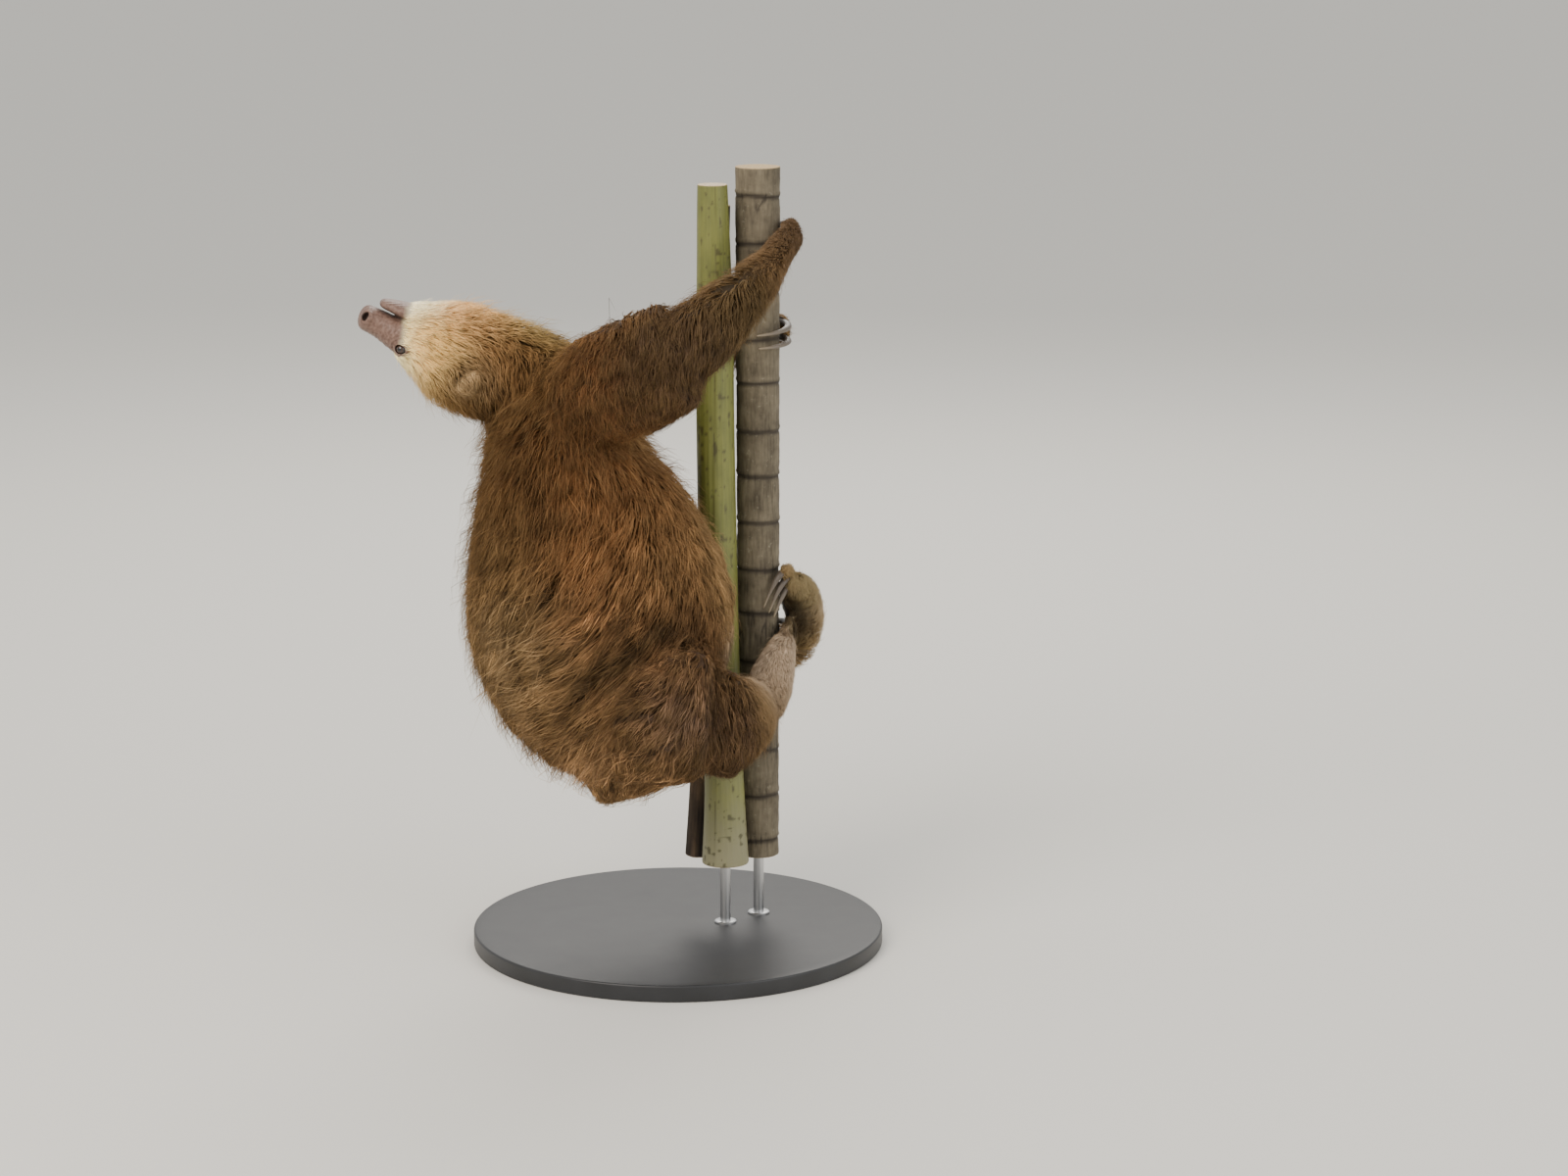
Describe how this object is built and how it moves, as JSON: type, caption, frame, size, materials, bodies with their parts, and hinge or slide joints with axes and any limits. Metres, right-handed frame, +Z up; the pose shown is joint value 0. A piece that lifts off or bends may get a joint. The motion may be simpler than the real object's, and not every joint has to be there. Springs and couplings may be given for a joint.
{
  "type": "two-toed sloth",
  "caption": "Life-size two-toed sloth with its head thrown back, hugging cut palm stems, held up by a plain display stand.",
  "frame": {"origin": "centre of the stand base's underside, which rests level on the floor", "axes": "right-handed, +Z up; the animal's belly and the palm stems are towards +X, its back and nose towards -X, and its own right side towards -Y"},
  "size_m": [0.485, 0.39, 0.736],
  "materials": {
    "coat": "long coarse brown fur",
    "face": "short pale fur",
    "snout": "bare skin",
    "eye": "wet",
    "ear": "short fur",
    "foot": "short coarse fur and bare soles",
    "claw": "worn horn",
    "ringed_bark": "rough ringed palm bark",
    "green_stalk": "smooth waxy palm stalk",
    "brown_stem": "dry and fibrous",
    "stand_black": "satin black stain",
    "stand_steel": "brushed"
  },
  "bodies": {
    "root": {"claw_foot_left_1": "claw", "claw_foot_left_2": "claw", "claw_foot_left_3": "claw", "claw_foot_right_1": "claw", "claw_foot_right_2": "claw", "claw_foot_right_3": "claw", "claw_hand_left_1": "claw", "claw_hand_left_2": "claw", "claw_hand_right_1": "claw", "claw_hand_right_2": "claw", "ear_left": "ear", "ear_right": "ear", "eye_left": "eye", "eye_right": "eye", "foot_left": "foot", "foot_right": "foot", "forearm_left": "coat", "forearm_right": "coat", "hand_left": "foot", "hand_right": "foot", "head": "face", "lower_jaw": "snout", "muzzle": "snout", "neck": "coat", "perch_brown_stem": "brown_stem", "perch_green_stalk": "green_stalk", "perch_ringed_stem": "ringed_bark", "shank_left": "coat", "shank_right": "coat", "stand_base": "stand_black", "stand_rod_green": "stand_steel", "stand_rod_ringed": "stand_steel", "thigh_left": "coat", "thigh_right": "coat", "trunk": "coat", "upper_arm_left": "coat", "upper_arm_right": "coat"}
  },
  "joints": []
}
